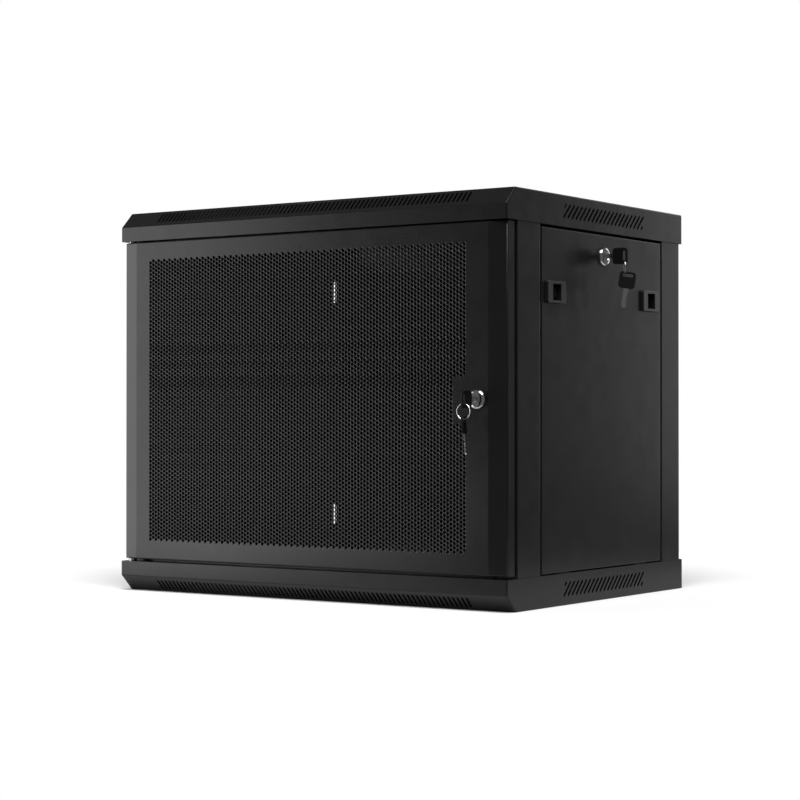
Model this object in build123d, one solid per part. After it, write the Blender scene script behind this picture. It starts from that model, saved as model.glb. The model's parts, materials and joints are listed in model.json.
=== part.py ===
from build123d import *
import math
import os

# A 9U wall-mounted network cabinet.  Millimetres, +Z up.  X runs to the right of someone facing the door,
# Y runs from the door (-Y) to the wall (+Y), and the origin is the centre of the face it stands on.

# ---------------------------------------------------------------- driving dimensions
W, D, H = 600.0, 450.0, 501.0
SHEET = 1.2                      # covers, door, side panels, rear panel
POST_SHEET = 1.5                 # posts and rail supports
RAIL_SHEET = 2.0
BEND = 2.0                       # outside radius of a folded edge

COVER_H = 39.0                   # height of the top and bottom covers
CHAMFER = 20.0                   # 45 degree slope at the covers' front edge
COVER_LIP_Y = -200.6             # rear edge of the return under the covers' front edge
COVER_STOP_X, COVER_STOP_H = 266.0, 10.0   # half length and height of the fold along that edge

FRONT, REAR = -D / 2, D / 2
SIDE_X = 298.6                   # outer face of the posts and side panels
POST_FRONT_Y, POST_REAR_Y = -199.5, 219.0
PANEL_Y = 10.8                   # middle of the side openings
PANEL_HALF = 154.2               # half length of a side panel along Y
PANEL_Z0, PANEL_Z1 = 40.0, 459.0
PANEL_RETURN = 9.0
OPENING_HALF = PANEL_HALF + 2.7  # from PANEL_Y to the post flanges beside the side opening

DOOR_X0, DOOR_X1 = -296.5, 297.5
DOOR_Z0, DOOR_Z1 = 42.5, 460.2
DOOR_FACET = 23.0                # width of the sloping strips at the door's sides
DOOR_FACET_DROP = 5.5            # how far a strip falls back over that width
DOOR_REAR_Y = -204.0
HINGE_X, HINGE_Y = -289.0, -214.0
PIN_R = 2.5

RACK_UNITS = 9
RACK_UNIT = 44.45
RACK_HOLES = (6.35, 22.225, 38.1)     # hole centres within one rack unit
RACK_HOLE = 9.5                       # square hole for a cage nut
RACK_HOLE_X = 232.55                  # half of the 465.1 mm between hole columns
RAIL_INNER_X, RAIL_OUTER_X = 225.0, 262.0
RAIL_Z0, RAIL_Z1 = 44.0, 457.0
FRONT_RAIL_Y, REAR_RAIL_Y = -165.0, 152.0
RAIL_DEPTH = 40.0
SUPPORT_OUTER_X = 284.0
SUPPORT_H = 34.0
SUPPORT_SCREW_X = 273.0
SUPPORT_LIP = 12.0
SUPPORT_RISE = 8.0               # of a support's leg beyond its flange, behind the gap over the side panel
RAIL_SCREW_Y = (-134.0, 131.0)   # of the screws through the front and the rear rails

COVER_SLOT_PITCH, COVER_SLOTS = 6.5, 75        # upright slots along the covers' sloping edge
COVER_SLOT_L, COVER_SLOT_W = 17.5, 3.0
SKIRT_SLOT_PITCH, SKIRT_SLOTS = 10.0, 20       # slanting vent slots in each side of the covers
SKIRT_SLOT_L, SKIRT_SLOT_W, SKIRT_SHORT_L = 24.5, 3.5, 6.9
SKIRT_SLOT_DOWN = 19.75                        # of the slots' middle from the cover's flat
GRILLE_X, GRILLE_Y = 120.0, -10.0              # centres of the two fan positions
GRILLE_R, GRILLE_PITCH, GRILLE_BRIDGE = 56.0, 8.0, 6.0
GRILLE_SLOT_W = 4.5
FAN_PITCH = 105.0                              # between a 120 mm fan's screw holes
FAN_HOLE_R = 2.15
ENTRY_X, ENTRY_Y = 125.0, 30.0                 # half size of a cable entry
ENTRY_AT_Y, ENTRY_AT_Z = 155.0, 110.0          # middle of the covers' entries and of the rear one
ENTRY_MARGIN = 10.0                            # by which an entry plate overlaps its opening

FLANGE_X = 262.0                 # inner edge of the flanges beside the side openings
FRONT_FLANGE_X = 270.0           # inner edge of the front posts' front flange
WALL_FLANGE_X = 250.0            # inner edge of the rear posts' wall flange
WALL_SLOT_X, WALL_SLOT_Z, WALL_SLOT_L, WALL_SLOT_W = 273.0, 165.4, 31.0, 7.0
POST_Z0, POST_Z1 = SHEET, H - SHEET
TAB_X, TAB_Y = 32.0, 24.0        # size of a post's end tabs along X and Y
BOLT_WINDOW = (281.5, 289.5, 8.0)   # inner X, outer X and half height of the window for a latch bolt
REAR_PANEL_X = 263.0
REAR_PANEL_Y1 = POST_REAR_Y - POST_SHEET
REAR_PANEL_Y0 = REAR_PANEL_Y1 - SHEET

SCREW_R, HEAD_R, HEAD_H = 2.5, 4.75, 3.0       # M5 pan head
M3_R, M3_HEAD_R, M3_HEAD_H, M3_HOLE_R = 1.5, 2.8, 2.0, 1.6
NUT_R, NUT_H = 4.6, 4.0
HOLE_R = 2.6
SLIP = 0.05                      # of a bore beyond the screw, pin or barrel in it
RUNNING = 0.08                   # of a bore beyond a pin that turns or slides in it

BUSH_R, BUSH_GAP = 5.5, 0.3
HINGE_PIN_Z0 = 33.0
BRACKET_Z0, BRACKET_SHEET = DOOR_Z1 - SHEET - 50.0, 1.0
BRACKET_X0, BRACKET_X1 = HINGE_X - 4.0, HINGE_X + 7.0
BRACKET_Y = -218.6
PIN_COLLAR_Z = BRACKET_Z0 + 26.0
SPRING_TURNS, SPRING_R, SPRING_WIRE = 6, 2.95, 0.25

LOCK_FLANGE_R, LOCK_FLANGE_H = 11.75, 4.0
LOCK_BARREL_R = 9.0
PLUG_R, PLUG_BORE_R = 6.25, 6.33
LOCK_Z = 250.5
DOOR_LOCK_X = 258.6
PANEL_LOCK_Z = 431.8
DOOR_LOCK_DEPTH = 27.5           # from the door's face to the cam
PANEL_LOCK_DEPTH = 18.1
CAM_W, CAM_SHEET = 14.0, 2.0
DOOR_CAM_L, PANEL_CAM_L = 32.0, 21.0
SQUARE = 7.0                     # of the plug's square end

KEY_BLADE_W, KEY_BLADE_T = 6.4, 2.0
KEY_SHOULDER = 9.0               # from the lock flange's face to the bow
KEY_IN_PLUG = 12.0
SPARE_BLADE_L = 24.5
BOW_L, BOW_W, BOW_T = 21.0, 20.5, 2.6
BOW_SLOT_L, BOW_SLOT_W = 13.0, 3.8
BOW_SLOT_IN = 4.6                # of the slot's middle from the bow's outer edge
RING_R, RING_WIRE = 9.1, 0.6
SLOT_OUT = LOCK_FLANGE_H + KEY_SHOULDER + BOW_L - BOW_SLOT_IN   # of the bow's slot from the panel
RING_TOP = RING_WIRE + 0.65 - BOW_SLOT_L / 2   # of the ring's wire in the slot, from the key's axis
RING_CENTRE = RING_TOP - RING_R
DOOR_RING_TURN, SIDE_RING_TURN = 0.0, 34.3     # about the vertical, from the plane of the panel
# How a spare key hangs: turn about the vertical, roll in its plane, lean out of it, shift along its slot.
DOOR_SPARE = (22.0, 0.0, 4.0, 0.0)
SIDE_SPARE = (34.3, 9.0, 0.0, -4.5)

LATCH_OFFSET = 122.5             # of each latch from the middle of the side panel
LATCH_Z = 381.0
LATCH_HALF_U, LATCH_HALF_V, LATCH_H = 21.8, 13.5, 3.5
HOUSING_HALF_U, HOUSING_HALF_V, HOUSING_DEPTH = 20.0, 11.5, 16.0
RECESS_HALF, RECESS_DEPTH, TRACK_DEPTH = 10.0, 10.2, 14.8
SLIDER_HALF_V = 6.0
LUG_OFFSET = 100.0               # of each bottom lug from the middle of the side panel

os.makedirs("parts", exist_ok=True)


# ---------------------------------------------------------------- small helpers
def block(x0, x1, y0, y1, z0, z1):
    """A box between two corners."""
    size = Box(abs(x1 - x0), abs(y1 - y0), abs(z1 - z0))
    return Pos((x0 + x1) / 2, (y0 + y1) / 2, (z0 + z1) / 2) * size


def rod(base, direction, radius, length):
    """A cylinder that starts at base and runs along direction."""
    return extrude(Plane(base, z_dir=direction) * Circle(radius), length)


def hexagon(base, direction, inradius, length):
    """A hexagonal prism that starts at base and runs along direction."""
    outline = RegularPolygon(inradius, 6, major_radius=False)
    return extrude(Plane(base, z_dir=direction) * outline, length)


def group(solids):
    """Separate solids that share one node."""
    return Compound([s.solid() for s in solids])


def cut(body, cutters):
    """Body less every cutter, in one operation."""
    return body.cut(*cutters)


def mirrored(shape):
    """The same piece on the other side of the cabinet."""
    return mirror(shape, Plane.YZ)


def save(name, shape):
    shape.label = name
    export_step(shape, f"parts/{name}.step")


def screw(base, direction, length):
    """A pan-head machine screw: its head lies behind base and its shank runs along direction."""
    back = Vector(*direction) * -1
    head = rod(base, back, HEAD_R, HEAD_H)
    return head + rod(base, direction, SCREW_R, length)


def m3_screw(base, direction):
    """An M3 screw as long as two sheets are thick: its head lies behind base."""
    back = Vector(*direction) * -1
    return rod(base, direction, M3_R, 2 * SHEET) + rod(base, back, M3_HEAD_R, M3_HEAD_H)


def nut(base, direction):
    """A flange nut that sits on base and stands along direction."""
    body = rod(base, direction, 5.9, 1.2) + hexagon(base, direction, NUT_R, NUT_H)
    return body - rod(base, direction, SCREW_R + SLIP, NUT_H)


# ---------------------------------------------------------------- covers
def cover_block(inset, bottom, lip_bottom):
    """The top cover's outer or inner block: outline seen from the side, drawn in by inset."""
    slope = inset * math.tan(math.radians(22.5))
    front, rear, top = FRONT + inset, REAR - inset, H - inset
    outline = Polygon(
        (front, lip_bottom),
        (front, H - CHAMFER - slope),
        (FRONT + CHAMFER + slope, top),
        (rear, top),
        (rear, bottom),
        (COVER_LIP_Y, bottom),
        (COVER_LIP_Y, lip_bottom),
        align=None,
    )
    folds = [v for v in outline.vertices() if v.Y > H - CHAMFER - 2 * inset - 1]
    outline = fillet(folds, BEND - inset)
    half = W / 2 - inset
    solid = extrude(Plane.YZ * outline, half, both=True)
    ends = [e for e in solid.edges() if abs(abs(e.center().X) - half) < 0.01]
    lip_rear = [e for e in ends if abs(e.center().Y - COVER_LIP_Y) < 0.01]
    folded = [e for e in ends if e.center().Z > lip_bottom + 1 and e not in lip_rear]
    return fillet(folded, BEND - inset - 0.2)


def chamfer_slots():
    """The row of upright slots along the sloping front edge."""
    middle = Vector(0, FRONT + CHAMFER / 2, H - CHAMFER / 2)
    up = Vector(0, 1, 1).normalized()
    slope = Plane(middle + up * 0.8, x_dir=(1, 0, 0), z_dir=(0, -1, 1))
    slot = Rot(0, 0, 90) * SlotOverall(COVER_SLOT_L, COVER_SLOT_W)
    slots = Sketch() + [place * slot for place in GridLocations(COVER_SLOT_PITCH, 0, COVER_SLOTS, 1)]
    return extrude(slope * slots, 4, both=True)


def side_slots():
    """The slanting vent slots of both side skirts: up to the right, seen from outside."""
    cutters = []
    for side in (1, -1):
        middle = (side * W / 2, PANEL_Y, H - SKIRT_SLOT_DOWN)
        face = Plane(middle, x_dir=(0, side, 0), z_dir=(side, 0, 0))
        full = Rot(0, 0, 45) * SlotOverall(SKIRT_SLOT_L, SKIRT_SLOT_W)
        short = Rot(0, 0, 45) * SlotOverall(SKIRT_SHORT_L, SKIRT_SLOT_W)
        slots = Sketch() + [place * full for place in GridLocations(SKIRT_SLOT_PITCH, 0, SKIRT_SLOTS, 1)]
        slots += Pos(-99, 6.4) * short
        slots += Pos(99, -6.4) * short
        cutters.append(extrude(face * slots, 4, both=True))
    return cutters


def fan_grilles():
    """Two round fields of slots in the flat of the cover, each with the screw holes of a 120 mm fan."""
    flat = Plane.XY.offset(H)
    sketch = Sketch()
    for side in (1, -1):
        centre = Pos(side * GRILLE_X, GRILLE_Y)
        for row in range(-6, 7):
            y = row * GRILLE_PITCH
            length = math.sqrt(GRILLE_R**2 - y**2) - GRILLE_BRIDGE / 2
            for end in (1, -1):
                middle = Pos(end * (GRILLE_BRIDGE + length) / 2, y)
                sketch += centre * middle * SlotOverall(length, GRILLE_SLOT_W)
        for corner in GridLocations(FAN_PITCH, FAN_PITCH, 2, 2):
            sketch += centre * corner * Circle(FAN_HOLE_R)
    return extrude(flat * sketch, 4, both=True)


def entry_screw_points(half_u, half_v):
    """Where the four screws of a cable-entry plate stand, about the middle of the entry."""
    u, v = half_u + ENTRY_MARGIN / 2, half_v - 4
    return [(u, v), (-u, v), (u, -v), (-u, -v)]


def cover_stud_points():
    """Where the clinched studs stand in the flat of a cover: two for each post's end tab."""
    points = []
    for side in (1, -1):
        for y in (POST_FRONT_Y + POST_SHEET + TAB_Y / 2, POST_REAR_Y - POST_SHEET - TAB_Y / 2):
            for x in (SIDE_X - 10.0, SIDE_X - 24.0):
                points.append((side * x, y))
    return points


def top_cover():
    outer = cover_block(0, H - COVER_H, H - COVER_H)
    inner = cover_block(SHEET, H - COVER_H - 5, H - COVER_H + SHEET)
    low = H - COVER_H
    rear = COVER_LIP_Y + SHEET
    stop = block(-COVER_STOP_X, COVER_STOP_X, COVER_LIP_Y, rear, low - COVER_STOP_H, low + SHEET)
    shell = outer - inner + stop
    cutters = [chamfer_slots(), *side_slots(), fan_grilles()]
    cutters.append(block(-ENTRY_X, ENTRY_X, ENTRY_AT_Y - ENTRY_Y, ENTRY_AT_Y + ENTRY_Y, H - 5, H + 5))
    for u, v in entry_screw_points(ENTRY_X, ENTRY_Y):
        cutters.append(rod((u, ENTRY_AT_Y + v, H + 5), (0, 0, -1), M3_HOLE_R, 10))
    for x, y in cover_stud_points():
        cutters.append(rod((x, y, H + 5), (0, 0, -1), SCREW_R + SLIP, 10))
    for x in (HINGE_X, -HINGE_X):
        cutters.append(rod((x, HINGE_Y, H - COVER_H - 5), (0, 0, 1), PIN_R + RUNNING, 10))
    return cut(shell, cutters)


def turned_over(shape):
    """A piece of the top cover's kind, turned over about the cabinet's middle to serve at the bottom."""
    return Pos(0, 0, H) * Rot(0, 180, 0) * shape


def cable_plate():
    """The plate that closes the top cover's cable entry from inside."""
    u, v = ENTRY_X + ENTRY_MARGIN, ENTRY_Y + ENTRY_MARGIN
    top = H - SHEET
    plate = block(-u, u, ENTRY_AT_Y - v, ENTRY_AT_Y + v, top - SHEET, top)
    points = entry_screw_points(ENTRY_X, ENTRY_Y)
    holes = [rod((x, ENTRY_AT_Y + y, top + 5), (0, 0, -1), M3_HOLE_R, 10) for x, y in points]
    return cut(plate, holes)


def cable_plate_screws():
    """M3 screws: those of the top plate, of the bottom plate and of the rear plate."""
    inside = H - 2 * SHEET
    screws = []
    for x, y in entry_screw_points(ENTRY_X, ENTRY_Y):
        base = (x, ENTRY_AT_Y + y, inside)
        screws.append(m3_screw(base, (0, 0, 1)))
    screws += [turned_over(s) for s in list(screws)]
    for x, z in entry_screw_points(ENTRY_X, ENTRY_Y):
        base = (x, REAR_PANEL_Y0 - SHEET, ENTRY_AT_Z + z)
        screws.append(m3_screw(base, (0, 1, 0)))
    return screws


# ---------------------------------------------------------------- posts
def channel(y_outer, y_inner, outer_edge, inner_edge):
    """A folded C section: web on the cabinet's side, one flange at y_outer and one at y_inner."""
    toward = 1 if y_inner > y_outer else -1
    low, high = POST_Z0 + 0.7, POST_Z1 - 0.7
    web = block(SIDE_X - POST_SHEET, SIDE_X, y_outer, y_inner, low, high)
    outer = block(outer_edge, SIDE_X, y_outer, y_outer + toward * POST_SHEET, low, high)
    inner = block(inner_edge, SIDE_X, y_inner - toward * POST_SHEET, y_inner, low, high)
    body = web + outer + inner
    corners = [e for e in body.edges().filter_by(Axis.Z) if abs(e.center().X - SIDE_X) < 0.01]
    body = fillet(corners, BEND - 0.5)
    tab_y = y_outer + toward * POST_SHEET
    for z0, z1 in ((POST_Z0, POST_Z0 + POST_SHEET), (POST_Z1 - POST_SHEET, POST_Z1)):
        body += block(SIDE_X - TAB_X, SIDE_X - 1, tab_y - toward, tab_y + toward * TAB_Y, z0, z1)
    return body


def latch_window(y):
    """The window in a post flange that a latch bolt enters."""
    x0, x1, half = BOLT_WINDOW
    return block(x0, x1, y - 5, y + 5, LATCH_Z - half, LATCH_Z + half)


def support_fixings():
    """Heights of the screws that hold the rail supports to the posts."""
    return (RAIL_Z0 + 12.0, RAIL_Z0 + 24.0, RAIL_Z1 - 24.0, RAIL_Z1 - 12.0)


def side_holes(y):
    """Screw holes through a post flange at y for the rail supports."""
    return [rod((SUPPORT_SCREW_X, y - 5, z), (0, 1, 0), HOLE_R, 10) for z in support_fixings()]


def stud_holes(front):
    chosen = [p for p in cover_stud_points() if p[0] > 0 and (p[1] < 0) == front]
    return [rod((x, y, z), (0, 0, 1), HOLE_R, 6) for x, y in chosen for z in (POST_Z0 - 2, POST_Z1 - 4)]


def front_right_post():
    inner = PANEL_Y - OPENING_HALF
    body = channel(POST_FRONT_Y, inner, FRONT_FLANGE_X, FLANGE_X)
    return cut(body, [latch_window(inner), *side_holes(inner), *stud_holes(True)])


def rear_right_post():
    inner = PANEL_Y + OPENING_HALF
    body = channel(POST_REAR_Y, inner, WALL_FLANGE_X, FLANGE_X)
    cutters = [latch_window(inner), *side_holes(inner), *stud_holes(False)]
    wall = Plane((WALL_SLOT_X, POST_REAR_Y, H / 2), x_dir=(1, 0, 0), z_dir=(0, -1, 0))
    for side in (1, -1):
        slot = Pos(0, side * WALL_SLOT_Z) * Rot(0, 0, 90) * SlotOverall(WALL_SLOT_L, WALL_SLOT_W)
        cutters.append(extrude(wall * slot, 5, both=True))
    for x, z in rear_panel_fixings():
        if x > 0:
            cutters.append(rod((x, POST_REAR_Y + 5, z), (0, -1, 0), HOLE_R, 10))
    return cut(body, cutters)


# ---------------------------------------------------------------- rail supports and rails
def upper_right_support():
    """A folded member between the posts: inner leg, flange, and a lip that the side lock's cam hooks."""
    y0, y1 = PANEL_Y - OPENING_HALF, PANEL_Y + OPENING_HALF
    inner_x, top = RAIL_OUTER_X, RAIL_Z1
    leg = block(inner_x, inner_x + POST_SHEET, y0, y1, top - SUPPORT_H, top + SUPPORT_RISE)
    flange = block(inner_x, SUPPORT_OUTER_X, y0, y1, top - POST_SHEET, top)
    lip = block(SUPPORT_OUTER_X - POST_SHEET, SUPPORT_OUTER_X, y0 + 25, y1 - 25, top - SUPPORT_LIP, top)
    body = leg + flange + lip
    for start, end in ((y0, y0 + POST_SHEET), (y1 - POST_SHEET, y1)):
        body += block(inner_x, SUPPORT_OUTER_X - 1, start, end, top - SUPPORT_H, top)
    cutters = []
    for y in (y0 - 5, y1 - 5):
        for z in support_fixings()[2:]:
            cutters.append(rod((SUPPORT_SCREW_X, y, z), (0, 1, 0), HOLE_R, 10))
    face = Plane((inner_x, PANEL_Y, top - SUPPORT_H / 2 - 1), x_dir=(0, 1, 0), z_dir=(1, 0, 0))
    slots = Sketch() + [
        place * SlotOverall(34, 2 * HOLE_R) for place in GridLocations(44, 14, 7, 2)
    ]
    cutters.append(extrude(face * slots, 4, both=True))
    return cut(body, cutters)


def lower(shape):
    """The lower twin of an upper rail support."""
    middle = Plane.XY.offset((RAIL_Z0 + RAIL_Z1) / 2)
    return mirror(shape, middle)


def rail_fixings():
    """Y and Z of the screws between rails and supports: those of the front rails, then the rear rails."""
    middle = RAIL_Z1 - SUPPORT_H / 2 - 1
    heights = [middle - 7, middle + 7]
    heights += [RAIL_Z0 + RAIL_Z1 - z for z in heights]
    front, rear = ([(y, z) for z in heights] for y in RAIL_SCREW_Y)
    return front, rear


def right_rail(face_y, toward, fixings):
    """A 19-inch rail: a face with square holes and a return that the supports hold."""
    back = face_y + toward * RAIL_DEPTH
    face = block(RAIL_INNER_X, RAIL_OUTER_X, face_y, face_y + toward * RAIL_SHEET, RAIL_Z0, RAIL_Z1)
    side = block(RAIL_OUTER_X - RAIL_SHEET, RAIL_OUTER_X, face_y, back, RAIL_Z0, RAIL_Z1)
    lip = block(RAIL_INNER_X, RAIL_INNER_X + RAIL_SHEET, face_y, face_y + toward * 10, RAIL_Z0, RAIL_Z1)
    body = face + side + lip
    folds = [
        e
        for e in body.edges().filter_by(Axis.Z)
        if abs(e.center().Y - face_y) < 0.01 and e.center().X in (RAIL_INNER_X, RAIL_OUTER_X)
    ]
    body = fillet(folds, BEND)
    start = H / 2 - RACK_UNITS * RACK_UNIT / 2
    half = RACK_HOLE / 2
    x0, x1 = RACK_HOLE_X - half, RACK_HOLE_X + half
    cutters = []
    for unit in range(RACK_UNITS):
        for offset in RACK_HOLES:
            z = start + unit * RACK_UNIT + offset
            cutters.append(block(x0, x1, face_y - 5, face_y + 5, z - half, z + half))
    for y, z in fixings:
        cutters.append(rod((RAIL_OUTER_X - 5, y, z), (1, 0, 0), HOLE_R, 10))
    return cut(body, cutters)


# ---------------------------------------------------------------- rear panel
def rear_panel_fixings():
    """X and Z of the screws that hold the rear panel to the rear posts' wall flanges."""
    return [(side * 256.5, z) for side in (1, -1) for z in (60.0, 157.0, 344.0, 441.0)]


def rear_panel():
    body = block(-REAR_PANEL_X, REAR_PANEL_X, REAR_PANEL_Y0, REAR_PANEL_Y1, POST_Z0 + 1, POST_Z1 - 1)
    cutters = [rod((x, REAR, z), (0, -1, 0), HOLE_R, 20) for x, z in rear_panel_fixings()]
    cutters.append(block(-ENTRY_X, ENTRY_X, 200, REAR, ENTRY_AT_Z - ENTRY_Y, ENTRY_AT_Z + ENTRY_Y))
    for x, z in entry_screw_points(ENTRY_X, ENTRY_Y):
        cutters.append(rod((x, REAR, ENTRY_AT_Z + z), (0, -1, 0), M3_HOLE_R, 20))
    return cut(body, cutters)


def rear_cable_plate():
    u, v = ENTRY_X + ENTRY_MARGIN, ENTRY_Y + ENTRY_MARGIN
    y1 = REAR_PANEL_Y0
    plate = block(-u, u, y1 - SHEET, y1, ENTRY_AT_Z - v, ENTRY_AT_Z + v)
    points = entry_screw_points(ENTRY_X, ENTRY_Y)
    holes = [rod((x, REAR, ENTRY_AT_Z + z), (0, -1, 0), M3_HOLE_R, 20) for x, z in points]
    return cut(plate, holes)


# ---------------------------------------------------------------- fasteners of the frame
def frame_screws():
    """M5 screws of the rails, the rail supports and the rear panel."""
    screws = []
    for side in (1, -1):
        for fixings in rail_fixings():
            for y, z in fixings:
                screws.append(screw((side * (RAIL_OUTER_X - RAIL_SHEET), y, z), (side, 0, 0), 10))
        for end in (-1, 1):
            flange = PANEL_Y + end * OPENING_HALF
            for z in support_fixings():
                base = (side * SUPPORT_SCREW_X, flange + end * POST_SHEET, z)
                screws.append(screw(base, (0, -end, 0), 9))
    for x, z in rear_panel_fixings():
        screws.append(screw((x, POST_REAR_Y, z), (0, -1, 0), 9))
    return screws


def frame_nuts():
    """The flange nuts of the frame screws and of the cover studs."""
    nuts = []
    for side in (1, -1):
        for fixings in rail_fixings():
            for y, z in fixings:
                nuts.append(nut((side * (RAIL_OUTER_X + POST_SHEET), y, z), (side, 0, 0)))
        for end in (-1, 1):
            tab = PANEL_Y + end * (OPENING_HALF - POST_SHEET)
            for z in support_fixings():
                nuts.append(nut((side * SUPPORT_SCREW_X, tab, z), (0, -end, 0)))
    for x, z in rear_panel_fixings():
        nuts.append(nut((x, REAR_PANEL_Y0, z), (0, -1, 0)))
    for x, y in cover_stud_points():
        nuts.append(nut((x, y, POST_Z1 - POST_SHEET), (0, 0, -1)))
        nuts.append(nut((x, y, POST_Z0 + POST_SHEET), (0, 0, 1)))
    return nuts


def cover_studs():
    """Clinched studs, flush with the covers' outer faces."""
    studs = [rod((x, y, H), (0, 0, -1), SCREW_R, 10) for x, y in cover_stud_points()]
    return studs + [turned_over(s) for s in studs]


def hinge_bushes():
    """Washers on the covers' returns that take up the gaps above and below the door."""
    low = rod((HINGE_X, HINGE_Y, COVER_H), (0, 0, 1), BUSH_R, DOOR_Z0 - COVER_H - BUSH_GAP)
    top = H - COVER_H
    high = rod((HINGE_X, HINGE_Y, top), (0, 0, -1), BUSH_R, top - DOOR_Z1 - BUSH_GAP)
    bore = rod((HINGE_X, HINGE_Y, 0), (0, 0, 1), PIN_R + RUNNING, H)
    return [low - bore, high - bore]


def frame_earth_stud():
    """An M6 earth stud with its nut on the right front post's side flange."""
    base = (SUPPORT_SCREW_X, PANEL_Y - OPENING_HALF, RAIL_Z0 + SUPPORT_H + 30)
    return rod(base, (0, 1, 0), 3.0, 14) + hexagon(base, (0, 1, 0), 5.0, 5.0)


# ---------------------------------------------------------------- door
def door_outline(inset, rear):
    """The door's section seen from above: flat front, sloping strips, and returns to rear."""
    x0, x1 = DOOR_X0 + inset, DOOR_X1 - inset
    front, side = FRONT + inset, FRONT + DOOR_FACET_DROP
    drop = inset * 0.8
    points = [
        (x0, rear),
        (x0, side + drop),
        (DOOR_X0 + DOOR_FACET, front),
        (DOOR_X1 - DOOR_FACET, front),
        (x1, side + drop),
        (x1, rear),
    ]
    outline = Polygon(*points, align=None)
    folds = [v for v in outline.vertices() if v.Y < rear - 1]
    return fillet(folds, BEND - inset)


def door_panel():
    height = DOOR_Z1 - DOOR_Z0
    middle = Plane.XY.offset((DOOR_Z0 + DOOR_Z1) / 2)
    outer = extrude(middle * door_outline(0, DOOR_REAR_Y), height / 2, both=True)
    inner = extrude(middle * door_outline(SHEET, DOOR_REAR_Y + 5), height / 2 - SHEET, both=True)
    body = outer - inner
    cutters = [
        rod((HINGE_X, HINGE_Y, DOOR_Z0 - 5), (0, 0, 1), PIN_R + SLIP, 10),
        rod((HINGE_X, HINGE_Y, DOOR_Z1 - 5), (0, 0, 1), PIN_R + RUNNING, 10),
        rod((DOOR_LOCK_X, FRONT - 5, LOCK_Z), (0, 1, 0), LOCK_BARREL_R + 0.1, 15),
    ]
    return cut(body, cutters)


def door_hinge_pin():
    """The fixed lower pin, held by the door's bottom return."""
    return rod((HINGE_X, HINGE_Y, HINGE_PIN_Z0), (0, 0, 1), PIN_R, DOOR_Z0 + SHEET + 6 - HINGE_PIN_Z0)


def spring_pin_bracket():
    """The folded bracket behind the door's upper left corner that guides the spring pin."""
    top = DOOR_Z1 - SHEET
    rear = HINGE_Y + 5
    plate = block(BRACKET_X0, BRACKET_X1, BRACKET_Y, BRACKET_Y + BRACKET_SHEET, BRACKET_Z0, top)
    low_ear = block(BRACKET_X0, BRACKET_X1, BRACKET_Y, rear, BRACKET_Z0, BRACKET_Z0 + BRACKET_SHEET)
    high_ear = block(BRACKET_X0, BRACKET_X1, BRACKET_Y, rear, top - BRACKET_SHEET, top)
    bore = rod((HINGE_X, HINGE_Y, BRACKET_Z0 - 5), (0, 0, 1), PIN_R + RUNNING, 70)
    return plate + low_ear + high_ear - bore


def door_spring_pin():
    """The sliding upper pin with its spring collar and the finger lever at its lower end."""
    low, high = BRACKET_Z0 - 6.0, H - COVER_H + SHEET + 4.0
    pin = rod((HINGE_X, HINGE_Y, low), (0, 0, 1), PIN_R, high - low)
    collar = rod((HINGE_X, HINGE_Y, PIN_COLLAR_Z), (0, 0, 1), 3.3, 2.0)
    lever = rod((HINGE_X, HINGE_Y, low + PIN_R), (1, 0, 0), PIN_R - 0.4, 22)
    return pin + collar + lever


def door_pin_spring():
    """The compression spring between the bracket's lower ear and the pin's collar."""
    start = BRACKET_Z0 + BRACKET_SHEET + 0.4
    height = PIN_COLLAR_Z - start - 0.4
    path = Helix(pitch=height / SPRING_TURNS, height=height, radius=SPRING_R)
    coil = sweep(Plane(path @ 0, z_dir=path % 0) * Circle(SPRING_WIRE), path=path)
    return Pos(HINGE_X, HINGE_Y, start) * coil


def door_earth_stud():
    base = (270.0, FRONT + SHEET, 75.0)
    return rod(base, (0, 1, 0), 2.5, 12) + hexagon(base, (0, 1, 0), 4.0, 4.0)


# ---------------------------------------------------------------- cam locks
# A lock is drawn in its own frame: the outer face of its panel is the XY plane, +Z comes out of the panel
# toward the key, and +Y is the lock's "up".  A placement then puts it on the door or on a side panel.
def lock_body(depth):
    """Flange with a rounded rim, and the barrel that passes through the panel."""
    flange = rod((0, 0, 0), (0, 0, 1), LOCK_FLANGE_R, LOCK_FLANGE_H)
    rim = flange.edges().filter_by(GeomType.CIRCLE).sort_by(Axis.Z)[-1]
    flange = fillet(rim, LOCK_FLANGE_H - 0.4)
    barrel = rod((0, 0, 0.5), (0, 0, -1), LOCK_BARREL_R, depth + 0.5)
    return flange + barrel - rod((0, 0, 10), (0, 0, -1), PLUG_BORE_R, depth + 20)


def lock_nut():
    thickness = 5.0
    body = hexagon((0, 0, -SHEET), (0, 0, -1), 12.0, thickness)
    return body - rod((0, 0, 0), (0, 0, -1), LOCK_BARREL_R + SLIP, 10)


def lock_plug(depth):
    """The turning plug, slit for the key, with a square end for the cam."""
    face = LOCK_FLANGE_H - 0.6
    plug = rod((0, 0, face), (0, 0, -1), PLUG_R, face + depth)
    half_w, half_t = KEY_BLADE_W / 2 + 0.25, KEY_BLADE_T / 2 + 0.25
    keyway = block(-half_t, half_t, -half_w, half_w, -depth + 2, 10)
    half = SQUARE / 2
    tail = block(-half, half, -half, half, -depth - CAM_SHEET, -depth)
    return plug - keyway + tail


def lock_cam(depth, length):
    """The cam on the plug's square end, pointing up, with a rounded tip."""
    half = CAM_W / 2
    outline = Rot(0, 0, 90) * Pos((length - half) / 2, 0) * SlotOverall(length + half, CAM_W)
    cam = extrude(Plane.XY.offset(-depth - CAM_SHEET) * outline, CAM_SHEET)
    hole = SQUARE / 2 + SLIP
    return cam - block(-hole, hole, -hole, hole, -depth - 5, -depth + 5)


def cam_screw(depth):
    return rod((0, 0, -depth - CAM_SHEET), (0, 0, -1), 5.0, 2.5)


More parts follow.
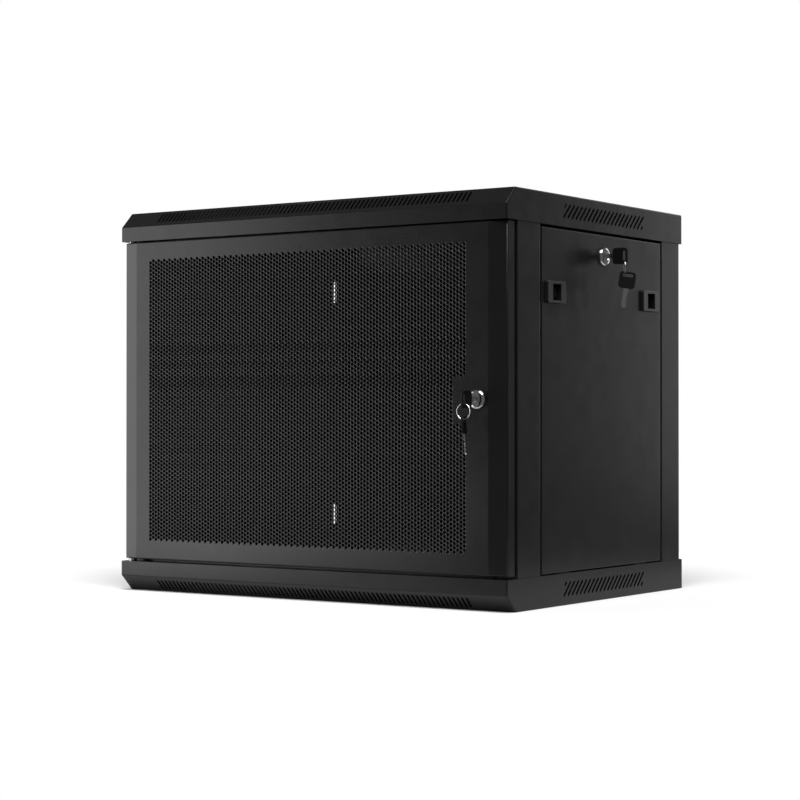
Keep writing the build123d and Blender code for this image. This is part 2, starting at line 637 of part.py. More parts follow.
def key(blade_length):
    """A flat key along Z: blade downward from the bow's foot at z = 0, a slot near the bow's outer edge."""
    blade = block(-KEY_BLADE_T / 2, KEY_BLADE_T / 2, -KEY_BLADE_W / 2, KEY_BLADE_W / 2, -blade_length, 0)
    tip = [e for e in blade.edges().filter_by(Axis.X) if e.center().Z < -blade_length + 1]
    blade = chamfer(tip, 2.5)
    outline = Pos(0, BOW_L / 2) * RectangleRounded(BOW_W, BOW_L, 4.0)
    slot = Pos(0, BOW_L - BOW_SLOT_IN) * RectangleRounded(BOW_SLOT_L, BOW_SLOT_W, 1.2)
    side = Plane((-BOW_T / 2, 0, 0), x_dir=(0, 1, 0), z_dir=(1, 0, 0))
    bow = extrude(side * (outline - slot), BOW_T)
    return group([blade, bow])


def key_in_lock():
    """The key pushed home: its blade lies in the plug and its bow stands out of the lock."""
    return Pos(0, 0, LOCK_FLANGE_H + KEY_SHOULDER) * key(KEY_SHOULDER + LOCK_FLANGE_H + KEY_IN_PLUG)


def key_ring(turn):
    """A wire ring that hangs in the bow's slot, turned about the vertical."""
    ring = Torus(RING_R, RING_WIRE)
    return Pos(0, RING_CENTRE, SLOT_OUT) * Rot(0, turn, 0) * ring


def spare_key(turn, roll, lean, shift):
    """The second key: its bow hangs on the ring's lowest point and its blade points down."""
    hang = BOW_L - BOW_SLOT_IN + BOW_SLOT_W / 2 - RING_WIRE - 0.6
    down = Rot(-90, 0, 0) * Pos(0, shift, -hang) * key(SPARE_BLADE_L)
    return Pos(0, RING_CENTRE - RING_R, SLOT_OUT) * Rot(0, turn, 0) * Rot(roll, 0, lean) * down


def on_door(shape):
    """Place a lock piece on the door: its +Z comes out of the door and its +Y is up."""
    return Plane((DOOR_LOCK_X, FRONT, LOCK_Z), x_dir=(1, 0, 0), z_dir=(0, -1, 0)) * shape


def on_right_panel(shape):
    """Place a lock piece on the right side panel."""
    return Plane((SIDE_X, PANEL_Y, PANEL_LOCK_Z), x_dir=(0, 1, 0), z_dir=(1, 0, 0)) * shape


# ---------------------------------------------------------------- side panels and latches
def latch_frame(end):
    """A latch's own frame: +X toward the post that its bolt enters, +Z out of the right side panel."""
    origin = (SIDE_X, PANEL_Y + end * LATCH_OFFSET, LATCH_Z)
    return Plane(origin, x_dir=(0, end, 0), z_dir=(1, 0, 0))


def latch_bezel(end):
    plate = extrude(RectangleRounded(2 * LATCH_HALF_U, 2 * LATCH_HALF_V, 2.5), LATCH_H)
    plate = fillet(plate.faces().sort_by(Axis.Z)[-1].outer_wire().edges(), 0.7)
    housing = block(-HOUSING_HALF_U, HOUSING_HALF_U, -HOUSING_HALF_V, HOUSING_HALF_V, -HOUSING_DEPTH, 0)
    recess = block(-RECESS_HALF, RECESS_HALF, -RECESS_HALF, RECESS_HALF, -RECESS_DEPTH, 10)
    track_half = SLIDER_HALF_V + 0.3
    track = block(-RECESS_HALF, HOUSING_HALF_U + 5, -track_half, track_half, -TRACK_DEPTH, -RECESS_DEPTH)
    return latch_frame(end) * (plate + housing - recess - track)


def latch_slider(end):
    """The thumb slider with its bolt, drawn back out of the post."""
    bottom, top, tip, thumb_top = -TRACK_DEPTH + 0.3, -RECESS_DEPTH - 0.3, 32.5, -2.0
    bolt = block(-9.0, tip, -SLIDER_HALF_V, SLIDER_HALF_V, bottom, top)
    across = bolt.edges().filter_by(Axis.Y)
    nose = [e for e in across if e.center().X > tip - 0.5 and e.center().Z > top - 0.5]
    bolt = chamfer(nose, 2.5)
    thumb = block(-8.5, -3.5, -SLIDER_HALF_V, SLIDER_HALF_V, top, thumb_top)
    thumb = fillet([e for e in thumb.edges() if e.center().Z > thumb_top - 0.5], 1.0)
    return latch_frame(end) * (bolt + thumb)


def right_side_panel():
    y0, y1 = PANEL_Y - PANEL_HALF, PANEL_Y + PANEL_HALF
    outer = block(SIDE_X - PANEL_RETURN, SIDE_X, y0, y1, PANEL_Z0, PANEL_Z1)
    outer = fillet(outer.faces().sort_by(Axis.X)[-1].outer_wire().edges(), 1.5)
    inner = block(
        SIDE_X - 20, SIDE_X - SHEET, y0 + SHEET, y1 - SHEET, PANEL_Z0 + SHEET, PANEL_Z1 - SHEET
    )
    body = outer - inner
    for y in (PANEL_Y - LUG_OFFSET, PANEL_Y + LUG_OFFSET):
        body += block(SIDE_X - 2 * SHEET, SIDE_X - SHEET, y - 15, y + 15, PANEL_Z0 - 9, PANEL_Z0 + 8)
    cutters = [rod((SIDE_X - 5, PANEL_Y, PANEL_LOCK_Z), (1, 0, 0), LOCK_BARREL_R + 0.1, 10)]
    half_y, half_z = HOUSING_HALF_U + 0.2, HOUSING_HALF_V + 0.2
    for end in (-1, 1):
        y = PANEL_Y + end * LATCH_OFFSET
        low, high = LATCH_Z - half_z, LATCH_Z + half_z
        cutters.append(block(SIDE_X - 5, SIDE_X + 5, y - half_y, y + half_y, low, high))
    return cut(body, cutters)


def save_side(name, shape):
    """Save a piece of the right side and its mirror image on the left."""
    save(f"right_{name}", shape)
    save(f"left_{name}", mirrored(shape))


# ---------------------------------------------------------------- the whole cabinet
cover = top_cover()
save("top_cover", cover)
save("bottom_cover", turned_over(cover))
save("front_right_post", front_right_post())
save("front_left_post", mirrored(front_right_post()))
save("rear_right_post", rear_right_post())
save("rear_left_post", mirrored(rear_right_post()))

support = upper_right_support()
save("upper_right_rail_support", support)
save("upper_left_rail_support", mirrored(support))
save("lower_right_rail_support", lower(support))
save("lower_left_rail_support", mirrored(lower(support)))

front_fixings, rear_fixings = rail_fixings()
front_rail = right_rail(FRONT_RAIL_Y, 1, front_fixings)
rear_rail = right_rail(REAR_RAIL_Y, -1, rear_fixings)
save("front_right_rail", front_rail)
save("front_left_rail", mirrored(front_rail))
save("rear_right_rail", rear_rail)
save("rear_left_rail", mirrored(rear_rail))

save("rear_panel", rear_panel())
save("top_cable_plate", cable_plate())
save("bottom_cable_plate", turned_over(cable_plate()))
save("rear_cable_plate", rear_cable_plate())
save("cable_plate_screws", group(cable_plate_screws()))
save("frame_screws", group(frame_screws()))
save("frame_nuts", group(frame_nuts()))
save("cover_studs", group(cover_studs()))
save("hinge_bushes", group(hinge_bushes()))
save("frame_earth_stud", frame_earth_stud())

save("door_panel", door_panel())
save("door_hinge_pin", door_hinge_pin())
save("spring_pin_bracket", spring_pin_bracket())
save("door_spring_pin", door_spring_pin())
save("door_pin_spring", door_pin_spring())
save("door_earth_stud", door_earth_stud())
save("door_lock_body", on_door(lock_body(DOOR_LOCK_DEPTH)))
save("door_lock_nut", on_door(lock_nut()))
save("door_lock_plug", on_door(lock_plug(DOOR_LOCK_DEPTH)))
save("door_lock_cam", on_door(lock_cam(DOOR_LOCK_DEPTH, DOOR_CAM_L)))
save("door_cam_screw", on_door(cam_screw(DOOR_LOCK_DEPTH)))
save("door_key", on_door(key_in_lock()))
save("door_key_ring", on_door(key_ring(DOOR_RING_TURN)))
save("door_spare_key", on_door(spare_key(*DOOR_SPARE)))

save_side("side_panel", right_side_panel())
save_side("panel_lock_body", on_right_panel(lock_body(PANEL_LOCK_DEPTH)))
save_side("panel_lock_nut", on_right_panel(lock_nut()))
save_side("panel_lock_plug", on_right_panel(lock_plug(PANEL_LOCK_DEPTH)))
side_cam = Rot(0, 0, -90) * lock_cam(PANEL_LOCK_DEPTH, PANEL_CAM_L)
save_side("panel_lock_cam", on_right_panel(side_cam))
save_side("panel_cam_screw", on_right_panel(cam_screw(PANEL_LOCK_DEPTH)))
save_side("latch_bezels", group([latch_bezel(-1), latch_bezel(1)]))
save_side("front_latch_slider", latch_slider(-1))
save_side("rear_latch_slider", latch_slider(1))
save("right_key", on_right_panel(key_in_lock()))
save("right_key_ring", on_right_panel(key_ring(SIDE_RING_TURN)))
save("right_spare_key", on_right_panel(spare_key(*SIDE_SPARE)))
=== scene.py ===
import json
import math

import bmesh
import bpy
from mathutils import Matrix, Vector


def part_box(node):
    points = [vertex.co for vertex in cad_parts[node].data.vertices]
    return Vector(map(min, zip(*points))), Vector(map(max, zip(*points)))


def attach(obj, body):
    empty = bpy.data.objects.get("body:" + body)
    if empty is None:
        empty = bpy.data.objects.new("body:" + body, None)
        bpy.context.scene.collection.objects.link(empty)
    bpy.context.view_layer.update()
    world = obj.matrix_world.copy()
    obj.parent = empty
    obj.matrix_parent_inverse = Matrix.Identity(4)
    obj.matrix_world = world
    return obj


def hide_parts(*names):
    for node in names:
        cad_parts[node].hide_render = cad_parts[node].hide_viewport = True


# A wall cabinet for network equipment. The CAD nodes give nearly everything. This script makes the door's
# sheet with its field of holes, the keys and their rings, then the materials, the lights and the camera.
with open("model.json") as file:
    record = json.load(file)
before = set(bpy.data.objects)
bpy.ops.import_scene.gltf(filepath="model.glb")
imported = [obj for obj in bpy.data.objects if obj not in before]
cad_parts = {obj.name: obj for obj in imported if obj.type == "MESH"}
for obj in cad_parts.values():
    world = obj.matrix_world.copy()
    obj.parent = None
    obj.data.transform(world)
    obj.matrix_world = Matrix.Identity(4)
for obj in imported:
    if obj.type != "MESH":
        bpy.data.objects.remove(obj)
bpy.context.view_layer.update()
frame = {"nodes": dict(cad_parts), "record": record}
NODES = frame["nodes"]
MM = 0.001

# ---------------------------------------------------------------- driving sizes, in millimetres
SHEET = 1.2                    # door skin
BEND = 2.0                     # outside radius of the door's folds
BEND_STEPS = 6
DOOR_FACET = 23.0              # width of the sloping strips at the door's sides
DOOR_FACET_DROP = 5.5
FACET_BLEND = 0.6              # half width of the softened crease between a strip and the middle
HOLE_R = 2.1                   # round perforations
COLUMN_PITCH = 4.66            # between neighbouring columns of holes
ROW_PITCH = 5.11               # between the holes of one column
COLUMNS, ROWS = 106, 72
WEB_AREA = 2.5                 # the faces round a hole are smaller than this, and are shaded as rolled over
FIELD_LEFT = -251.0            # left edge of the perforated field
FIELD_MIDDLE_Z = 252.0
NOTCH_X, NOTCH_HALF_Z = 224.0, 28.0      # no holes beside the lock
DOOR_SMOOTH = 50.0             # door edges flatter than this many degrees are shaded smooth
FLAT_NORMAL = 0.999            # a face with a normal component above this lies square to an axis

DOOR_LOCK = (258.6, -225.0, 250.5)       # middle of each lock on the outer face of its panel
PANEL_LOCK = (298.6, 10.8, 431.8)
LOCK_Z = DOOR_LOCK[2]
BOW_FOOT = 13.0                # of a bow from its panel, with the key pushed home
BOW_L, BOW_W, BOW_T = 21.0, 20.5, 2.6
BOW_CORNER, BOW_SOFT = 4.0, 0.35         # corner radius and softened rim
BOW_SLOT_L, BOW_SLOT_W = 13.0, 3.8       # the slot the ring goes through
BOW_SLOT_IN, BOW_SLOT_CORNER = 4.6, 1.2  # its middle from the bow's end, and its corner radius
BLADE_W, BLADE_T, BLADE_SOFT = 6.2, 1.9, 0.15
BLADE_ROOT = 1.0               # how far the blade reaches into its bow
BLADE_TIP = 2.5                # bevel at the blade's tip
HOME_BLADE, SPARE_BLADE = 25.0, 24.5     # lengths of the blades beyond their bows
CUTS = (1.2, 2.1, 0.9, 1.7, 1.3, 0.8)    # depths of the cuts in a blade's edge
CUT_START, CUT_PITCH = 7.0, 2.4          # the first cut from the bow, and each from the next
CUT_MOUTH, CUT_FLOOR = 1.2, 0.35         # half widths of a cut at the edge and at its bottom
RING_R, RING_T = 9.1, 0.6      # middle radius, and half the thickness of the doubled wire
RING_TURNS = 2 * 0.985         # windings of the wire, a little short so that its ends show
RING_STEPS, RING_SIDES = 144, 12
RING_GAP = 0.65                # from the wire in the upper bow's slot to the slot's end
HANG_GAP = 0.6                 # from the wire in the hanging bow's slot to the slot's edge
RING_TOP = RING_T + RING_GAP - BOW_SLOT_L / 2
HANG = BOW_L - BOW_SLOT_IN + BOW_SLOT_W / 2 - RING_T - HANG_GAP
SLOT_OUT = BOW_FOOT + BOW_L - BOW_SLOT_IN
DOOR_RING_TURN, SIDE_RING_TURN = 0.0, 34.3
# How a spare key hangs: turn about the vertical, roll in its plane, lean out of it, shift along its slot.
DOOR_SPARE = (22.0, 0.0, 4.0, 0.0)
SIDE_SPARE = (34.3, 9.0, 0.0, -4.5)

CAMERA_AT = (1.5805, -2.3171, 0.2300)
CAMERA_TURN = 34.388           # degrees from looking along +Y
CAMERA_PITCH = 0.457           # degrees above the horizon
CAMERA_LENS = 94.47

FLOOR_R = 700.0                # a round pale floor, reaching furthest where the shadow falls
FLOOR_AT = (-100.0, 200.0)
FLOOR_REFLECTED = 0.5          # grey of the floor as the cabinet reflects it
AMBIENT = 0.11                 # brightness of the room as the cabinet reflects it
SUN_FROM = (1.0, -1.4, 3.0)
SUN_STRENGTH, SUN_ANGLE = 3.7, 40.0
# Name, centre, target, width, height and brightness. The low box lights the door's lower margin.
SOFTBOXES = [
    ("left_box", (-2.24, -1.51, 0.3), (0.0, 0.0, 0.3), 1.9, 2.4, 2.9),
    ("back_box", (0.90, 3.3, 1.04), (0.3, 0.0, 0.3), 1.5, 2.2, 1.7),
    ("low_box", (-0.50, -0.92, 0.08), (0.0, -0.2, 0.05), 0.42, 0.13, 2.3),
]


# ---------------------------------------------------------------- meshes
def mesh_object(name, verts, faces, smooth_angle=40.0):
    """An object from vertices in millimetres, smooth across edges flatter than smooth_angle."""
    mesh = bpy.data.meshes.new(name)
    mesh.from_pydata([tuple(c * MM for c in v) for v in verts], [], faces)
    mesh.validate()
    mesh.shade_smooth()
    mesh.set_sharp_from_angle(angle=math.radians(smooth_angle))
    obj = bpy.data.objects.new(name, mesh)
    bpy.context.scene.collection.objects.link(obj)
    return obj


def apply_modifiers(obj):
    """Bake the object's modifiers into its mesh."""
    graph = bpy.context.evaluated_depsgraph_get()
    done = bpy.data.meshes.new_from_object(obj.evaluated_get(graph))
    obj.modifiers.clear()
    obj.data = done


def door_front_y(x, low, high, front):
    """Depth of the door's outer face at x: flat in the middle, falling back along both side strips."""
    inside = min(x - low, high - x)
    if inside >= DOOR_FACET:
        return front
    return front + DOOR_FACET_DROP * (1 - inside / DOOR_FACET)


def perforated_door():
    """The folded door skin with its staggered round holes, as one surface given a thickness.

    Each hole sits in a cell, one column pitch wide and one row pitch high. Every other column
    is half a row higher.
    """
    low, high = (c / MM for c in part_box("door_panel"))
    front, rear = low.y, high.y
    verts, faces, index = [], [], {}

    def vertex(x, y, z):
        key = (round(x, 3), round(y, 3), round(z, 3))
        if key not in index:
            index[key] = len(verts)
            verts.append((x, y, z))
        return index[key]

    half_w, half_p = COLUMN_PITCH / 2, ROW_PITCH / 2
    z_base = FIELD_MIDDLE_Z - (ROWS + 0.5) * ROW_PITCH / 2
    ring = [math.radians(22.5 + 45 * k) for k in range(8)]
    for column in range(COLUMNS):
        x = FIELD_LEFT + (column + 0.5) * COLUMN_PITCH
        start = z_base if column % 2 == 0 else z_base + half_p
        blank = start + ROWS * ROW_PITCH if column % 2 == 0 else z_base
        sides = [(half_w, 0), (half_w, half_p), (0, half_p), (-half_w, half_p), (-half_w, 0)]
        sides += [(-half_w, -half_p), (0, -half_p), (half_w, -half_p)]
        for row in range(ROWS):
            z = start + (row + 0.5) * ROW_PITCH
            border = [vertex(x + u, front, z + v) for u, v in sides]
            if x > NOTCH_X and abs(z - LOCK_Z) < NOTCH_HALF_Z:
                centre = vertex(x, front, z)
                faces += [[border[k - 1], border[k], centre] for k in range(8)]
                continue
            hole = [vertex(x + HOLE_R * math.cos(a), front, z + HOLE_R * math.sin(a)) for a in ring]
            for k in range(8):
                faces.append([border[k], border[(k + 1) % 8], hole[k], hole[k - 1]])
        corners = [(half_w, 0), (half_w, half_p), (0, half_p), (-half_w, half_p), (-half_w, 0), (0, 0)]
        faces.append([vertex(x + u, front, blank + v) for u, v in corners])

    x0, x1 = FIELD_LEFT, FIELD_LEFT + COLUMNS * COLUMN_PITCH
    z0, z1 = z_base, z_base + (ROWS + 0.5) * ROW_PITCH
    bottom, top = low.z + BEND, high.z - BEND
    left_crease, right_crease = low.x + DOOR_FACET, high.x - DOOR_FACET
    left = [low.x + BEND, left_crease - FACET_BLEND, left_crease + FACET_BLEND]
    right = [right_crease - FACET_BLEND, right_crease + FACET_BLEND, high.x - BEND]

    def at(x, z):
        return vertex(x, door_front_y(x, low.x, high.x, front), z)

    steps = 2 * ROWS + 1
    left_edge = [vertex(x0, front, z0 + k * half_p) for k in range(steps + 1)]
    right_edge = [vertex(x1, front, z0 + k * half_p) for k in range(steps + 1)]
    low_edge = [vertex(x0 + k * half_w, front, z0) for k in range(2 * COLUMNS + 1)]
    high_edge = [vertex(x0 + k * half_w, front, z1) for k in range(2 * COLUMNS + 1)]
    faces.append([at(left[-1], bottom), at(x0, bottom), *left_edge, at(x0, top), at(left[-1], top)])
    right_margin = [at(x1, top), *reversed(right_edge), at(x1, bottom)]
    faces.append([at(right[0], top), *right_margin, at(right[0], bottom)])
    faces.append([at(x0, bottom), at(x1, bottom), *reversed(low_edge)])
    faces.append([*high_edge, at(x1, top), at(x0, top)])
    for strip in (left, right):
        for a, b in zip(strip, strip[1:]):
            faces.append([at(a, bottom), at(b, bottom), at(b, top), at(a, top)])

    stations = [*left, x0, x1, *right]
    outline = [(x, bottom, 0, -1) for x in stations[1:-1]]
    loop = [(stations[0], bottom, -1, -1), *outline, (stations[-1], bottom, 1, -1)]
    loop += [(stations[-1], top, 1, 1)] + [(x, top, 0, 1) for x in reversed(stations[1:-1])]
    loop += [(stations[0], top, -1, 1)]
    previous = [at(x, z) for x, z, _, _ in loop]
    for k in range(1, BEND_STEPS + 1):
        angle = math.radians(90 * k / BEND_STEPS)
        out, back = BEND * math.sin(angle), BEND * (1 - math.cos(angle))
        now = []
        for x, z, dx, dz in loop:
            y = door_front_y(x, low.x, high.x, front) + back
            now.append(vertex(x + dx * out, y, z + dz * out))
        faces += [[previous[i - 1], now[i - 1], now[i], previous[i]] for i in range(len(loop))]
        previous = now
    last = [vertex(verts[i][0], rear, verts[i][2]) for i in previous]
    faces += [[previous[i - 1], last[i - 1], last[i], previous[i]] for i in range(len(loop))]

    door = mesh_object("door_skin", verts, faces, DOOR_SMOOTH)
    for face in door.data.polygons:
        beside_hole = len(face.vertices) == 4 and face.area < WEB_AREA * MM**2
        face.use_smooth = beside_hole or max(abs(c) for c in face.normal) < FLAT_NORMAL
    thick = door.modifiers.new("thickness", "SOLIDIFY")
    thick.thickness = SHEET * MM
    thick.offset = -1.0
    apply_modifiers(door)
    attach(door, "door")
    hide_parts("door_panel")
    return door


# ---------------------------------------------------------------- keys and rings
def closed_object(name, verts, faces, material, smooth_angle=35.0):
    """A closed piece with its faces turned outward."""
    obj = mesh_object(name, verts, faces, smooth_angle)
    work = bmesh.new()
    work.from_mesh(obj.data)
    bmesh.ops.recalc_face_normals(work, faces=work.faces)
    work.to_mesh(obj.data)
    work.free()
    obj.data.materials.append(material)
    return obj


def rounded_outline(half_u, half_v, radius, middle_v, steps=5):
    """Points of a rounded rectangle about (0, middle_v)."""
    points = []
    for corner, (su, sv) in enumerate(((1, -1), (1, 1), (-1, 1), (-1, -1))):
        u, v = su * (half_u - radius), middle_v + sv * (half_v - radius)
        for k in range(steps + 1):
            a = math.radians(90 * (corner - 1) + 90 * k / steps)
            points.append((u + radius * math.cos(a), v + radius * math.sin(a)))
    return points


def blade_outline(length):
    """A blade from a little inside the bow down to its tip, with cuts along one edge."""
    half = BLADE_W / 2
    points = [(half, BLADE_ROOT), (-half, BLADE_ROOT)]
    for k, depth in enumerate(CUTS):
        z = -CUT_START - CUT_PITCH * k
        points += [(-half, z + CUT_MOUTH), (depth - half, z + CUT_FLOOR)]
        points += [(depth - half, z - CUT_FLOOR), (-half, z - CUT_MOUTH)]
    points += [(-half, BLADE_TIP - length), (BLADE_TIP - half, -length)]
    return points + [(half - BLADE_TIP, -length), (half, BLADE_TIP - length)]


def plate(outline, thickness, edge, hole=()):
    """Vertices and faces of a flat piece in the YZ plane, with softened rims and perhaps a hole."""
    half = thickness / 2
    levels = [(half, edge), (half - edge, 0.0), (edge - half, 0.0), (-half, edge)]
    verts, loops = [], []
    for points, inward in ((outline, 1), (hole, -1)):
        if not points:
            continue
        middle = sum(p[1] for p in points) / len(points)
        for x, shrink in levels[::inward]:
            loops.append(range(len(verts), len(verts) + len(points)))
            for u, v in points:
                k = 1 - inward * shrink / math.hypot(u, v - middle)
                verts.append((x, u * k, middle + (v - middle) * k))
    pairs = list(zip(loops, loops[1:]))
    if hole:
        pairs.append((loops[-1], loops[0]))
    faces = [[a[i - 1], a[i], b[i], b[i - 1]] for a, b in pairs for i in range(len(a))]
    if not hole:
        faces += [list(loops[0]), list(loops[-1])]
    return verts, faces


def lock_frame(at, x_dir, out):
    """A lock's frame: Z out of its panel and Y up."""
    x, z = Vector(x_dir), Vector(out)
    turned = Matrix((x, z.cross(x), z)).transposed().to_4x4()
    return Matrix.Translation(at) @ turned


def turned_by(degrees, axis):
    return Matrix.Rotation(math.radians(degrees), 4, axis)


def spare_frame(lock, turn, roll, lean, shift):
    """The frame of the key that hangs on the ring's lowest point."""
    at = lock @ Matrix.Translation((0, RING_TOP - 2 * RING_R, SLOT_OUT))
    tilt = turned_by(turn, "Y") @ turned_by(roll, "X") @ turned_by(lean, "Z") @ turned_by(-90, "X")
    return at @ tilt @ Matrix.Translation((0, shift, -HANG))


def key_pieces(node, place, blade_length):
    """The moulded bow and the steel blade of a key, in place of its CAD node, which has its body's name."""
    outline = rounded_outline(BOW_W / 2, BOW_L / 2, BOW_CORNER, BOW_L / 2)
    slot_middle = BOW_L - BOW_SLOT_IN
    slot = rounded_outline(BOW_SLOT_L / 2, BOW_SLOT_W / 2, BOW_SLOT_CORNER, slot_middle)
    shapes = {
        "bow": (plate(outline, BOW_T, BOW_SOFT, slot), BOW_PLASTIC),
        "blade": (plate(blade_outline(blade_length), BLADE_T, BLADE_SOFT), NICKEL),
    }
    for suffix, ((verts, faces), material) in shapes.items():
        placed = [place @ Vector(v) for v in verts]
        piece = closed_object(f"{node}_{suffix}", placed, faces, material)
        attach(piece, node)
        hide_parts(node)


def split_ring(node, lock, turn):
    """A ring of flattened wire wound twice, in place of its CAD node."""
    place = lock @ Matrix.Translation((0, RING_TOP - RING_R, SLOT_OUT)) @ turned_by(turn, "Y")
    steps, around = RING_STEPS, RING_SIDES
    half_axial, half_radial = RING_T / 2, RING_T * 0.9
    verts = []
    for i in range(steps + 1):
        angle = 2 * math.pi * RING_TURNS * i / steps
        # The second winding lies beside the first. The wire steps across over a twelfth of its length.
        crossing = min(max((i / steps - 0.5) * 12 + 0.5, 0.0), 1.0)
        shift = half_axial * (2 * crossing - 1)
        for j in range(around):
            a = 2 * math.pi * j / around
            r = RING_R + half_radial * math.cos(a)
            point = (r * math.cos(angle), r * math.sin(angle), shift + half_axial * math.sin(a))
            verts.append(place @ Vector(point))
    faces = [list(range(around)), list(range(steps * around, (steps + 1) * around))]
    for i in range(steps):
        for j in range(around):
            a, b = i * around + j, i * around + (j + 1) % around
            faces.append([a, b, b + around, a + around])
    ring = closed_object(f"{node}_wire", verts, faces, NICKEL, 60.0)
    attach(ring, node)
    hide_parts(node)


def key_sets():
    """Both locks' keys: one in the lock and a spare that hangs from its bow by a ring."""
    door_lock = lock_frame(DOOR_LOCK, (1, 0, 0), (0, -1, 0))
    side_lock = lock_frame(PANEL_LOCK, (0, 1, 0), (1, 0, 0))
    home = Matrix.Translation((0, 0, BOW_FOOT))
    for side, lock, ring_turn, spare in (
        ("door", door_lock, DOOR_RING_TURN, DOOR_SPARE),
        ("right", side_lock, SIDE_RING_TURN, SIDE_SPARE),
    ):
        key_pieces(f"{side}_key", lock @ home, HOME_BLADE)
        split_ring(f"{side}_key_ring", lock, ring_turn)
        key_pieces(f"{side}_spare_key", spare_frame(lock, *spare), SPARE_BLADE)


# ---------------------------------------------------------------- materials
MIX_A, MIX_B, MIX_RESULT = 6, 7, 2       # the colour sockets of a mix node


class Nodes:
    """A material's node tree with short calls for the nodes used here."""

    def __init__(self, name):
        self.material = bpy.data.materials.new(name)
        self.material.use_nodes = True
        self.tree = self.material.node_tree
        self.shader = self.tree.nodes["Principled BSDF"]

    def set(self, **values):
        for socket, value in values.items():
            self.shader.inputs[socket.replace("_", " ")].default_value = value

    def node(self, kind, **settings):
        made = self.tree.nodes.new(kind)
        for key, value in settings.items():
            setattr(made, key, value)
        return made

    def link(self, source, target):
        self.tree.links.new(source, target)

    def place(self):
        """Object coordinates in metres."""
        return self.node("ShaderNodeTexCoord").outputs["Object"]

    def noise(self, scale, detail=2.0):
        made = self.node("ShaderNodeTexNoise")
        made.inputs["Scale"].default_value = scale
        made.inputs["Detail"].default_value = detail
        self.link(self.place(), made.inputs["Vector"])
        return made.outputs["Fac"]

    def spread(self, source, low, high, start=0.3, end=0.7):
        """Map the source's start..end to low..high."""
        made = self.node("ShaderNodeMapRange")
        sockets = {"From Min": start, "From Max": end, "To Min": low, "To Max": high}
        for socket, value in sockets.items():
            made.inputs[socket].default_value = value
        self.link(source, made.inputs["Value"])
        return made.outputs["Result"]

    def blend(self, fac, first, second):
        """Mix two colours by fac."""
        made = self.node("ShaderNodeMix", data_type="RGBA")
        self.link(fac, made.inputs["Factor"])
        for socket, colour in ((MIX_A, first), (MIX_B, second)):
            made.inputs[socket].default_value = (*colour, 1.0)
        return made.outputs[MIX_RESULT]

    def bump(self, height, distance, strength=1.0):
        made = self.node("ShaderNodeBump")
        made.inputs["Distance"].default_value = distance
        made.inputs["Strength"].default_value = strength
        self.link(height, made.inputs["Height"])
        self.link(made.outputs["Normal"], self.shader.inputs["Normal"])


def powder_paint():
    """Semi-gloss black powder coat: fine orange peel, faint cloudiness in tone and gloss."""
    n = Nodes("powder_paint")
    n.set(IOR=1.4)
    colour = n.blend(n.noise(9.0), (0.006, 0.006, 0.0062), (0.009, 0.009, 0.0093))
    n.link(colour, n.shader.inputs["Base Color"])
    n.link(n.spread(n.noise(40.0, 3.0), 0.22, 0.26), n.shader.inputs["Roughness"])
    n.bump(n.noise(1400.0, 2.0), 0.00003, 0.4)
    return n.material


def metal(name, colour, dark, rough_low, rough_high, scale=400.0):
    """Plated or bare metal, mottled at a scale in cycles per metre."""
    n = Nodes(name)
    n.set(Metallic=1.0)
    n.link(n.blend(n.noise(scale), colour, dark), n.shader.inputs["Base Color"])
    n.link(n.spread(n.noise(scale * 2, 3.0), rough_low, rough_high), n.shader.inputs["Roughness"])
    n.bump(n.noise(scale * 3, 2.0), 0.00003, 0.4)
    return n.material


def plastic(name, colour, lighter, rough_low, rough_high, ior=1.48):
    """Moulded plastic with a fine grain."""
    n = Nodes(name)
    n.set(IOR=ior)
    n.link(n.blend(n.noise(120.0), colour, lighter), n.shader.inputs["Base Color"])
    n.link(n.spread(n.noise(500.0, 3.0), rough_low, rough_high), n.shader.inputs["Roughness"])
    n.bump(n.noise(2500.0, 3.0), 0.00004, 0.5)
    return n.material


PAINT = powder_paint()
ZINC = metal("zinc_plate", (0.50, 0.50, 0.48), (0.40, 0.40, 0.39), 0.28, 0.42)
CHROME = metal("chrome_plate", (0.78, 0.78, 0.79), (0.70, 0.70, 0.71), 0.08, 0.14, 200.0)
NICKEL = metal("nickel_wire", (0.72, 0.71, 0.69), (0.62, 0.61, 0.60), 0.12, 0.22)
LATCH_PLASTIC = plastic("latch_plastic", (0.007, 0.007, 0.007), (0.011, 0.011, 0.011), 0.32, 0.40)
BOW_PLASTIC = plastic("bow_plastic", (0.0015, 0.0015, 0.0015), (0.003, 0.003, 0.003), 0.5, 0.6, 1.3)

SLOT_MATERIALS = {
    "black_powder_paint": PAINT,
    "zinc_fasteners": ZINC,
    "chrome_lock": CHROME,
    "key_steel": NICKEL,
    "black_latch_plastic": LATCH_PLASTIC,
    "key_set": BOW_PLASTIC,
    "spring_steel": ZINC,
}


def finish_cad_nodes():
    """Give every CAD node the material of its slot."""
    for part in frame["record"]["subparts"]:
        obj = NODES[part["node"]]
        for slot in obj.material_slots:
            slot.material = SLOT_MATERIALS[part["material_slot"]]


# ---------------------------------------------------------------- stage
def light(name, kind, at, target, **settings):
    """A lamp at a place, aimed at a target and hidden from the camera."""
    data = bpy.data.lights.new(name, kind)
    for key, value in settings.items():
        setattr(data, key, value)
    lamp = bpy.data.objects.new(name, data)
    bpy.context.scene.collection.objects.link(lamp)
    lamp.location = at
    lamp.rotation_euler = (Vector(target) - Vector(at)).to_track_quat("-Z", "Y").to_euler()
    lamp.visible_camera = False
    return lamp


def softbox(name, at, target, width, height, radiance):
    """A rectangular area light of an even brightness."""
    power = radiance * math.pi * width * height
    light(name, "AREA", at, target, shape="RECTANGLE", size=width, size_y=height, energy=power)


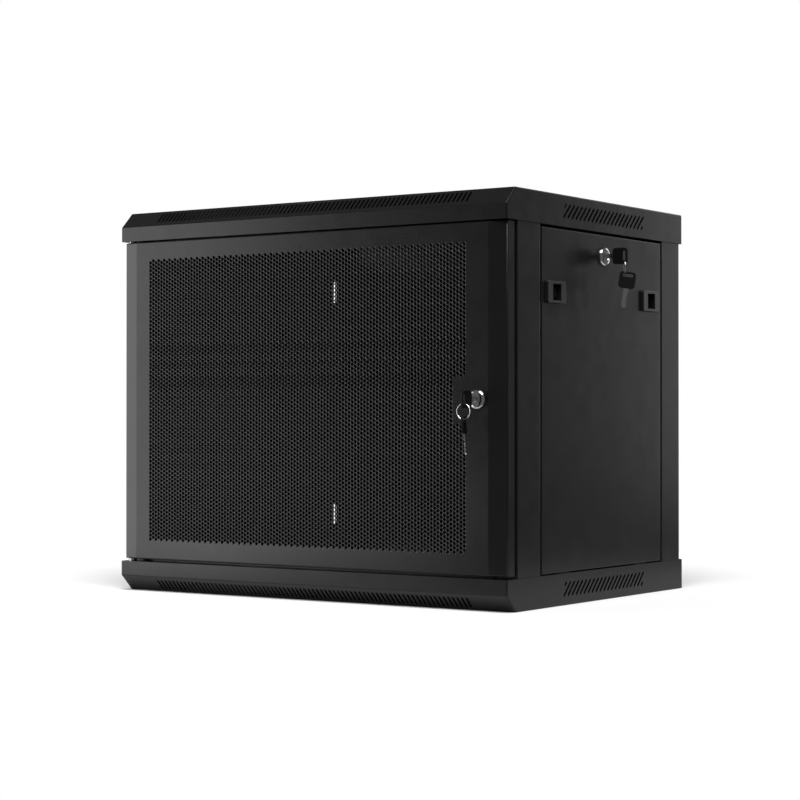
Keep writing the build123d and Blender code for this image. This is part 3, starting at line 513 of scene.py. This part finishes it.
def stage():
    """The floor, the world and the lights. To the camera, floor and world are white."""
    turns = [math.radians(5 * k) for k in range(72)]
    x, y = FLOOR_AT
    rim = [(x + FLOOR_R * math.cos(a), y + FLOOR_R * math.sin(a), 0) for a in turns]
    floor = mesh_object("floor", rim, [list(range(len(rim)))])
    n = Nodes("floor_paint")
    pale = n.blend(n.noise(2.0), (0.91, 0.91, 0.91), (0.93, 0.93, 0.93))
    seen = n.node("ShaderNodeLightPath").outputs["Is Camera Ray"]
    dimmed = n.node("ShaderNodeMix", data_type="RGBA")
    n.link(seen, dimmed.inputs["Factor"])
    dimmed.inputs[MIX_A].default_value = (FLOOR_REFLECTED, FLOOR_REFLECTED, FLOOR_REFLECTED, 1.0)
    n.link(pale, dimmed.inputs[MIX_B])
    n.link(dimmed.outputs[MIX_RESULT], n.shader.inputs["Base Color"])
    n.link(n.spread(n.noise(6.0), 0.7, 0.8), n.shader.inputs["Roughness"])
    floor.data.materials.append(n.material)
    world = bpy.data.worlds.new("studio")
    world.use_nodes = True
    tree = world.node_tree
    seen = tree.nodes.new("ShaderNodeLightPath").outputs["Is Camera Ray"]
    strength = tree.nodes.new("ShaderNodeMapRange")
    strength.inputs["To Min"].default_value = AMBIENT
    tree.links.new(seen, strength.inputs["Value"])
    background = tree.nodes["Background"]
    background.inputs["Color"].default_value = (1.0, 1.0, 1.0, 1.0)
    tree.links.new(strength.outputs["Result"], background.inputs["Strength"])
    bpy.context.scene.world = world
    sun_angle = math.radians(SUN_ANGLE)
    light("overhead", "SUN", SUN_FROM, (0, 0, 0), angle=sun_angle, energy=SUN_STRENGTH)
    for settings in SOFTBOXES:
        softbox(*settings)


def camera():
    """The camera of the one picture this cabinet is shown in."""
    data = bpy.data.cameras.new("camera")
    data.lens = CAMERA_LENS
    data.sensor_width = 36.0
    data.clip_start, data.clip_end = 0.1, 100.0
    obj = bpy.data.objects.new("camera", data)
    bpy.context.scene.collection.objects.link(obj)
    obj.location = CAMERA_AT
    obj.rotation_euler = (math.radians(90 + CAMERA_PITCH), 0, math.radians(CAMERA_TURN))
    bpy.context.scene.camera = obj


# ---------------------------------------------------------------- the scene
door = perforated_door()
door.data.materials.append(PAINT)
key_sets()
finish_cad_nodes()
stage()
camera()
bpy.context.scene.view_settings.view_transform = "Standard"
